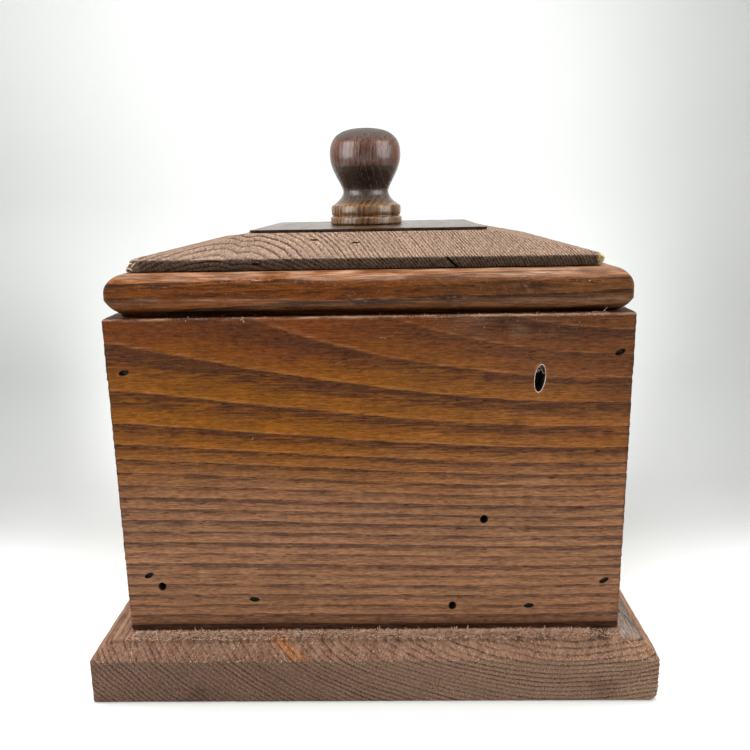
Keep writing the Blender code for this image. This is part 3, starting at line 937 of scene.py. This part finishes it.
def stray_fibres(name, material, body, seed, patches):
    """Loose torn fibres. A patch is (count, lowest and highest corner, way out, longest, width)."""
    rng = np.random.default_rng(seed)
    slivers = []
    for count, low, high, outward, longest, width in patches:
        for _ in range(count):
            root = Vector(rng.uniform(low, high))
            way = (Vector(rng.normal(size=3)) * 0.55 + Vector(outward)).normalized()
            bow = Vector(rng.normal(size=3)) * (0.12 * longest)
            wide = width * rng.uniform(0.6, 1.3)
            tip = root + way * (longest * rng.uniform(0.35, 1.0))
            slivers.append(sliver(root, tip, wide, 0.6 * wide, bow))
    bundle(name, slivers, material, body)


def fuzz_thickness(x):
    """How thickly torn fibres stand along the plinth, from its left to its right."""
    return np.interp(x, [-0.1, -0.05, 0.0, 0.03, 0.08, 0.1], [0.6, 0.6, 0.6, 1.0, 0.75, 0.15])


def plinth_fuzz(top, edge):
    """Torn end-grain fibres on the plinth: beside the front and back walls, and down the front bevel."""
    rng = np.random.default_rng(17)
    slivers = []
    for side, count in ((-1, 6500), (1, 900)):
        for _ in range(count):
            x = rng.uniform(-0.0985, 0.0990)
            thick = fuzz_thickness(x)
            if rng.random() > thick:
                continue
            out = rng.triangular(0.1006, 0.1024, edge - 0.0004)
            length = rng.uniform(0.0010, 0.0028) * (0.5 + 0.5 * thick)
            swing = rng.normal(0.0, 0.6)
            lift = rng.uniform(0.2, 1.1)
            root = Vector((x, side * out, top - 0.0001))
            tip = root + Vector((math.sin(swing), side * math.cos(swing), lift)) * length
            width = rng.uniform(0.00020, 0.00042)
            slivers.append(sliver(root, tip, width, width * 0.6, (0, 0, 0.0002 * rng.random())))
    bundle("plinth_fibres", slivers, GREY_FIBRE, "box")
    stray_fibres("plinth_tufts", PALE_FIBRE, "box", 19, (
        (420, (-0.098, -0.1030, top), (0.0, -0.1004, top + 0.0002), (0, -1.0, 0.5), 0.0022, 0.00040),
        (760, (-0.005, -0.1030, top), (0.088, -0.1004, top + 0.0002), (0, -1.0, 0.6), 0.0024, 0.00042),
    ))
    specks = []
    for share in (0.15, 0.35, 0.55, 0.75, 1.0):
        out, height = edge + PLINTH_BEVEL * share, top - PLINTH_BEVEL * share
        specks.append((70 if share < 1 else 190, (-0.110, -out - 0.0003, height - 0.0002),
                       (0.110, -out + 0.0001, height + 0.0002), (0, -0.8, 0.6), 0.0010, 0.00022))
    stray_fibres("bevel_fibres", GREY_FIBRE, "box", 20, specks)


def lid_board():
    """From the top: quarter round, upright face, bulging chamfer that is a little out of level."""
    low, high = node_box("lid_board")
    centre = (low + high) / 2
    half, top, foot = (high[0] - low[0]) / 2, high[2], low[2]
    radius, chamfer_top, chamfer_foot, run, tilt = 0.0070, 0.0058, 0.0006, 0.0043, 0.0009
    outline = [(half - radius - 0.004, top)] + arc((half - radius, top - radius), radius, 90, 0, 12)
    outline += [(half, top - radius - share * 0.0030) for share in (0.3, 0.6, 0.9)]
    for step in range(11):
        share = step / 10
        bulge = 0.0004 * math.sin(math.pi * share)
        height = foot + chamfer_top + (chamfer_foot - chamfer_top) * share - bulge
        outline.append((half - run * share + bulge, height))
    step_edge = half - run - 0.0003
    outline += [(step_edge, foot + chamfer_foot - 0.0002), (step_edge, foot), (half - run - 0.006, foot)]
    points, faces = square_loft(outline, 0.0011)
    x, y, z = points.T
    below = ramp_to(z, foot + 0.0088, foot + chamfer_top) * ramp_to(z, foot, foot + 0.0006)
    z -= below * x / half * np.interp(z, [foot, foot + chamfer_top], [0.0005, tilt])
    points[:, :2] *= (1 + 0.0012 * rough(points, (0.02, 0.02, 0.006), 31))[:, None]
    z += 0.00010 * rough(points, (0.01, 0.01, 0.01), 32) * ramp_to(z, foot + 0.0008, foot + 0.002)
    points += centre * (1, 1, 0)
    piece = wood_piece("lid_board_wood", RIM_WOOD, rim_tint, points, faces)

    points = get_points(piece)
    x, y, z = points.T
    arris = np.exp(-((z - foot - chamfer_top + tilt * x / half) / 0.0004) ** 2)
    chamfer = ramp_to(z, foot + 0.0062, foot + 0.0050) * ramp_to(z, foot + 0.0012, foot + 0.003)
    shoulder = ramp_to(z, top - 0.0040, top - 0.0020)
    worn_and_highlit = ramp_to(rough(points, (0.009, 0.009, 0.0016), 37), -0.6, 0.5)
    scuffs = [spot(x, z, *place) * (y < 0) for place in LID_SCUFFS]
    ragged = ramp_to(rough(points, (0.0022, 0.002, 0.0012), 35), -0.7, 0.1)
    pale = ramp_to(rough(points, (0.0016, 0.002, 0.0008), 36), 0.2, 0.6)
    wear = highest(
        0.5 * arris * ramp_to(rough(points, (0.01, 0.01, 0.002), 33), -0.3, 0.5),
        # The chamfer is painted lighter: painted light, as if lit from the floor below.
        0.12 * chamfer,
        # The quarter round's shoulder is paler: partly worn varnish and partly a painted highlight, more so
        # to the right.
        (0.50 + 1.2 * x) * shoulder * worn_and_highlit,
        0.26 * shoulder * ramp_to(x, -0.02, 0.05),
        *[0.5 * scuff * pale for scuff in scuffs],
    )
    stain = highest(
        0.6 * ramp_to(rough(points, (0.012, 0.012, 0.004), 34), 0.45, 0.9),
        # Painted shadow on the lowest part of the moulding, in the gap where the lid sits on the box.
        0.85 * ramp_to(z, foot + 0.0016, foot + 0.0004),
        *[0.95 * scuff * ragged for scuff in scuffs],
    )
    finish(piece, "lid_board", "lid", "varnished_wood", 50, wear=wear, stain=stain)
    face = -half
    stray_fibres("lid_fibres", TAN_FIBRE, "lid", 71, (
        (5, (-0.0445, face + 0.0012, foot + 0.0126), (-0.0405, face + 0.0018, foot + 0.0136),
         (1, -0.6, 0.2), 0.0034, 0.0004),
        (14, (0.057, face + 0.0008, foot + 0.0120), (0.063, face + 0.0014, foot + 0.0134),
         (0.4, -0.6, 0.2), 0.0012, 0.0003),
        (3, (0.0815, face - 0.0001, foot + 0.0112), (0.0822, face, foot + 0.0120),
         (0.3, -0.4, 0.8), 0.0009, 0.0004),
        (16, (-0.09, face + 0.0046, foot), (0.09, face + 0.0052, foot + 0.0003),
         (0.6, -0.8, 0), 0.0014, 0.00014),
        (30, (-0.060, face + 0.0006, foot + 0.0110), (-0.010, face + 0.0016, foot + 0.0138),
         (1, -0.3, 0.1), 0.0012, 0.00014),
    ))


def corner_nearness(points, half):
    """0 to 1 towards the front left corner, and towards the front right one."""
    front = ramp_to(points[:, 1], -half + 0.012, -half)
    left = ramp_to(points[:, 0], -half + 0.009, -half + 0.001) * front
    right = ramp_to(points[:, 0], half - 0.009, half - 0.001) * front
    return left, right


def break_corners(points, half, foot, edge_top):
    """The hip panel's two front corners are broken: the left one splintered, the right one rounded off."""
    x, y, z = points.T
    left, right = corner_nearness(points, half)
    ragged = rough(points, (0.0012, 0.0012, 0.0008), 43)
    above = ramp_to(z, foot + 0.0010, edge_top)
    x += left * (0.0006 * ragged - 0.0006 + 0.0018 * above) - right * 0.0006 * (1 + ragged)
    y += left * (0.0008 + 0.0006 * ragged) + right * (0.0008 + 0.0004 * ragged)
    z -= above * (left * (0.0001 + 0.0005 * ragged) + right * (0.0003 + 0.0003 * ragged))
    x -= right * ramp_to(z, foot + 0.0015, foot) * 0.0012


def panel_splinters(centre, half, foot):
    """Slivers at the hip panel's left front corner, and a few fresh ones at the right."""
    rng = np.random.default_rng(23)
    corner = Vector((centre[0] - half, centre[1] - half, foot))
    old = []
    for root, tip, width, thickness, bow in (
        ((0.0022, 0.0008, 0.0006), (-0.0008, 0.0006, 0.0018), 0.0009, 0.0006, (0, -0.0003, 0.0003)),
        ((0.0036, 0.0006, 0.0036), (0.0020, 0.0002, 0.0004), 0.0005, 0.0004, (-0.0006, -0.0004, 0)),
        ((0.0026, 0.0008, 0.0030), (0.0006, 0.0004, 0.0026), 0.0007, 0.0004, (0, 0, 0.0005)),
    ):
        old.append(sliver(corner + Vector(root), corner + Vector(tip), width, thickness, bow))
    bundle("panel_splinters", old, GREY_FIBRE, "lid")
    corner = Vector((centre[0] + half, centre[1] - half, foot))
    fresh = []
    for _ in range(14):
        inward, back, up = rng.uniform((0.0012, 0.0008, 0.0008), (0.0045, 0.0016, 0.0034))
        root = corner + Vector((-inward, back, up))
        reach = Vector(rng.uniform((0.0004, -0.0008, -0.0008), (0.0016, 0.0, 0.0008)))
        fresh.append(sliver(root, root + reach, rng.uniform(0.0003, 0.0006), 0.0003))
    bundle("panel_fresh_splinters", fresh, FRESH_WOOD, "lid")


def hip_panel():
    low, high = node_box("hip_panel")
    centre = (low + high) / 2
    half, top, foot = (high[0] - low[0]) / 2, high[2], low[2]
    flat, edge_top = 0.053, foot + 0.0038
    outline = [(flat - 0.006, top), (flat - 0.003, top)]
    outline += filled_in([(flat, top - 0.00002), (half - 0.0007, edge_top + 0.00012)], 0.0012)
    outline += [(half - 0.0002, edge_top - 0.0001)]
    outline += filled_in([(half, edge_top - 0.0005), (half, foot + 0.0003)], 0.0006)
    outline += [(half - 0.0003, foot), (half - 0.006, foot)]
    points, faces = square_loft(outline, 0.0009)
    x, y, z = points.T
    side = np.maximum(np.abs(x), np.abs(y))
    z += 0.00014 * rough(points, (0.003, 0.010, 0.003), 41) * ramp_to(side, 0.051, 0.056)
    sawn = rough(points, (0.004, 0.004, 0.0015), 42) * ramp_to(side, 0.085, 0.09)
    points[:, :2] *= (1 + 0.0012 * sawn)[:, None]
    # The slopes sag below their middle, and rise again towards the edge, more on the left.
    lift = ramp_to(z, foot + 0.0010, edge_top) * ramp_to(side, 0.068, half)
    z += lift * (0.0005 - 0.0002 * x / half)
    sag = 0.0005 * (1 - 1.2 * x / half)
    z -= sag * ramp_to(side, flat, 0.066) * ramp_to(side, 0.092, 0.074)
    break_corners(points, half, foot, edge_top)
    points += centre * (1, 1, 0)
    piece = wood_piece("hip_panel_wood", PANEL_WOOD, panel_tint, points, faces)
    cutters = []
    for name in nodes_called("panel_nail"):
        place = middle(name)
        place[2] = node_box(name)[1][2] + 0.0012
        cutters.append(nail_slit(place, 0.0040, 0.0024, 0.0, (0, 0, 1)))
    front = centre[1] - half
    cutters.append(nail_slit((0.0322, front, foot + 0.0021), 0.0066, 0.0011, -0.75, (0, -1, 0), 0.002))
    cutters.append(nail_slit((-0.0420, front, foot + 0.0024), 0.0044, 0.0008, 0.0, (0, -1, 0), 0.002))
    cut(piece, cutters)

    points = get_points(piece)
    left, right = corner_nearness(points - centre * (1, 1, 0), half)
    fresh = ramp_to(right + 0.10 * rough(points, 0.002, 44), 0.80, 0.90)
    edge_face = ramp_to(points[:, 2], edge_top + 0.0005, edge_top - 0.0001)
    stain = 0.66 * edge_face * (0.8 + 0.4 * rough(points, 0.0012, 47)) * (1 - fresh)
    finish(piece, "hip_panel", "lid", "bare_wood", fresh=fresh, stain=stain,
           wear=ramp_to(left + 0.12 * rough(points, 0.0015, 45), 0.45, 0.65) * 0.5)
    panel_splinters(centre, half, foot)


def top_plate():
    low, high = node_box("top_plate")
    points, faces = lattice_box(low, high, 0.0020, 0.0004)
    points = round_edges(points, low, high, 0.00012)
    piece = make_piece("top_plate_lacquer", points, faces, [plate_material()])
    finish(piece, "top_plate", "lid", "dark_plate")


def knob_outline(foot, height):
    """From the top down: domed bulb, taper to the neck, cove, bead, groove and foot ring."""
    radius, neck_radius, bead_radius = 0.0170, 0.0109, 0.0170
    top, widest, neck = foot + height, foot + 0.0324, foot + 0.0157
    bead_top, bead_foot = foot + 0.0090, foot + 0.0042
    bead_middle = (bead_top + bead_foot) / 2
    dome_steps, taper_steps, cove_steps, bead_steps = 28, 24, 12, 10
    points = [(0, top)]
    for i in range(1, dome_steps + 1):
        turned = math.radians(90 * i / dome_steps)
        points.append((radius * math.sin(turned) ** 0.77,
                       widest + (top - widest) * math.cos(turned) ** 0.77))
    for i in range(1, taper_steps + 1):
        share = 1 - i / taper_steps
        points.append((neck_radius + (radius - neck_radius) * math.sin(math.pi / 2 * share) ** 1.25,
                       neck + (widest - neck) * share))
    for i in range(1, cove_steps + 1):
        share = i / cove_steps
        points.append((neck_radius + (bead_radius - 0.0008 - neck_radius) * share**2.0,
                       neck + (bead_top - neck) * share))
    for i in range(1, bead_steps):
        angle = math.pi / 2 - math.pi * i / bead_steps
        points.append((bead_radius - 0.0006 + 0.0006 * math.cos(angle),
                       bead_middle + (bead_top - bead_foot) / 2 * math.sin(angle)))
    points += [(bead_radius - 0.0007, bead_foot), (bead_radius - 0.0007, bead_foot - 0.0003),
               (bead_radius, bead_foot - 0.0007), (bead_radius + 0.0004, bead_foot - 0.0012)]
    ring = bead_radius + 0.0004
    points += filled_in([(ring, bead_foot - 0.0016), (ring, foot + 0.0003)], 0.0006)
    points += [(bead_radius + 0.0001, foot), (0, foot)]
    return points


def knob():
    low, high = node_box("knob")
    points, faces = turned_solid(knob_outline(low[2], high[2] - low[2]), 128)
    points += middle("knob") * (1, 1, 0)
    piece = make_piece("knob_wood", points, faces, [knob_material()])
    level = get_points(piece)[:, 2] - low[2]
    # The crown is painted dusty and dark: dust, and painted shade against the light from above.
    finish(piece, "knob", "lid", "knob_wood", 60, wear=0.9 * ramp_to(level, 0.0370, 0.0420))


def finish_metal():
    """The CAD fasteners keep their shape and get a metal finish."""
    iron = metal_material("nail_iron", (30, 24, 21), (74, 60, 50), 0.5, 0.8)
    steel = metal_material("screw_steel", (120, 116, 108), (176, 172, 164), 0.3, 1.0)
    metals = {"nail": iron, "brad": iron, "screw": steel, "washer": steel}
    for name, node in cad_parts.items():
        for word, material in metals.items():
            if word in name:
                node.data.materials.clear()
                node.data.materials.append(material)


# ---------------------------------------------------------------- stage


def paper_sweep():
    """A white paper floor that curves up into a wall. Its grey beside and behind the object, and on the
    wall's right, is painted shade; its glow on the floor in front of the object and up the wall, most on
    the left, is painted light.
    """
    s = Shading("studio_paper")
    x, y, z = s.node("SeparateXYZ", {0: s.place}).outputs
    away = s.math("SQRT", s.total(s.times(x, x), s.times(y, y)))
    wall_glow = s.times(s.math("MAXIMUM", s.less(z, 0.2), 0.0), 0.8, s.ease(x, 0.4, -0.2, 0.35, 1.0))
    floor_glow = s.times(s.ease(away, 0.20, 0.50, 0.25, 0.0), s.ease(y, 0.13, -0.03))
    glow = s.total(floor_glow, s.math("MINIMUM", wall_glow, 0.25))
    height = s.ease(x, -0.1, 0.1, 0.17, 0.24)
    middle_depth = s.times(s.ease(y, -0.10, 0.07), s.ease(y, 1.2, 0.10), s.ease(z, height, -0.02))
    outward = s.total(s.math("ABSOLUTE", x), s.times(y, -0.5))
    side_start, side_stop = s.ease(x, -0.1, 0.1, -0.02, -0.10), s.ease(x, -0.1, 0.1, 0.17, 0.13)
    side = s.times(s.ease(outward, side_start, side_stop), s.ease(outward, 0.05, 0.25, 0.52, 0.62))
    right_wall = s.times(s.ease(x, 0.25, 0.50), s.ease(y, 0.45, 0.75), 0.13)
    paper = 0.87
    shade = s.total(paper, s.times(side, middle_depth, -paper), s.times(right_wall, -paper))
    s.look(s.colour(s.times(shade, 0.99), shade, s.times(shade, 0.985)), 0.95, others={
        SPECULAR: 0.0, "Emission Color": (0.98, 1.0, 0.985, 1.0), "Emission Strength": glow})

    reach, bend_start, radius, top = 6.0, 0.45, 0.30, 4.0
    profile = [(-reach, 0), (-1.0, 0), (0, 0), (bend_start, 0)]
    profile += [(y, z) for y, z in arc((bend_start, radius), radius, -90, 0, 24)[1:]]
    profile += [(bend_start + radius, 1.0), (bend_start + radius, top)]
    columns = np.linspace(-reach, reach, 9)
    points = [(x, y, z) for y, z in profile for x in columns]
    wide = len(columns)
    faces = [[r * wide + c, r * wide + c + 1, (r + 1) * wide + c + 1, (r + 1) * wide + c]
             for r in range(len(profile) - 1) for c in range(wide - 1)]
    sheet = make_piece("paper_sweep", points, faces, [s.material])
    sheet.data.shade_smooth()


def area_light(name, place, aim, size, power, gloss=False):
    """Lights either the matt look of things, or their gloss."""
    lamp = bpy.data.lights.new(name, "AREA")
    lamp.shape = "RECTANGLE"
    lamp.size, lamp.size_y = size
    lamp.energy = power
    light = bpy.data.objects.new(name, lamp)
    bpy.context.scene.collection.objects.link(light)
    light.location = place
    light.rotation_mode = "QUATERNION"
    light.rotation_quaternion = (Vector(aim) - Vector(place)).to_track_quat("-Z", "Y")
    light.visible_camera = False
    light.visible_diffuse = not gloss
    light.visible_glossy = gloss


def lights():
    world = bpy.data.worlds.new("studio")
    bpy.context.scene.world = world
    world.use_nodes = True
    background = world.node_tree.nodes["Background"]
    background.inputs["Color"].default_value = (0.98, 1.0, 0.99, 1.0)
    background.inputs["Strength"].default_value = 0.30
    area_light("overhead", (0, 0.05, 0.72), (0, 0.05, 0), (0.60, 0.50), 8.5)
    area_light("left_panel", (-0.62, -0.05, 0.26), (0, 0, 0.12), (0.25, 0.45), 1.6)
    area_light("right_panel", (0.62, -0.05, 0.26), (0, 0, 0.12), (0.25, 0.45), 1.1)
    area_light("left_window", (-0.60, -0.36, 0.42), (0, 0, 0.22), (0.56, 0.74), 4.4, gloss=True)
    area_light("right_window", (0.64, -0.30, 0.42), (0, 0, 0.22), (0.60, 0.74), 4.0, gloss=True)


def camera():
    """Stands a little right of the middle and looks down at the front, as the photographer held it."""
    place = Vector((0.0085, -0.3814, 0.1976))
    yaw, pitch, roll = math.radians(-1.21), math.radians(13.22), math.radians(-1.0)
    ahead = Vector((math.sin(yaw) * math.cos(pitch), math.cos(yaw) * math.cos(pitch), -math.sin(pitch)))
    level = Vector((math.cos(yaw), -math.sin(yaw), 0))
    upright = level.cross(ahead)
    right = level * math.cos(roll) + upright * math.sin(roll)
    up = upright * math.cos(roll) - level * math.sin(roll)
    lens = bpy.data.cameras.new("camera")
    lens.sensor_width = 36.0
    lens.lens = 36.62
    lens.clip_start = 0.01
    view = bpy.data.objects.new("camera", lens)
    bpy.context.scene.collection.objects.link(view)
    view.matrix_world = Matrix((
        (right.x, up.x, -ahead.x, place.x),
        (right.y, up.y, -ahead.y, place.y),
        (right.z, up.z, -ahead.z, place.z),
        (0, 0, 0, 1),
    ))
    bpy.context.scene.camera = view


front_board()
wall_board("left", SIDE_WOOD, None, 6)
wall_board("right", SIDE_WOOD._replace(pith=(140.0, 10.0)), None, 7)
wall_board("back", BACK_WOOD, "x", 9)
inside_piece("bottom_board", "x", "box", 51)
plinth()
lid_board()
hip_panel()
top_plate()
knob()
for number, (cleat, grain) in enumerate((("front", "x"), ("back", "x"), ("left", "y"), ("right", "y"))):
    inside_piece(cleat + "_cleat", grain, "lid", 60 + number)
finish_metal()

paper_sweep()
lights()
camera()
bpy.context.scene.view_settings.view_transform = "Standard"
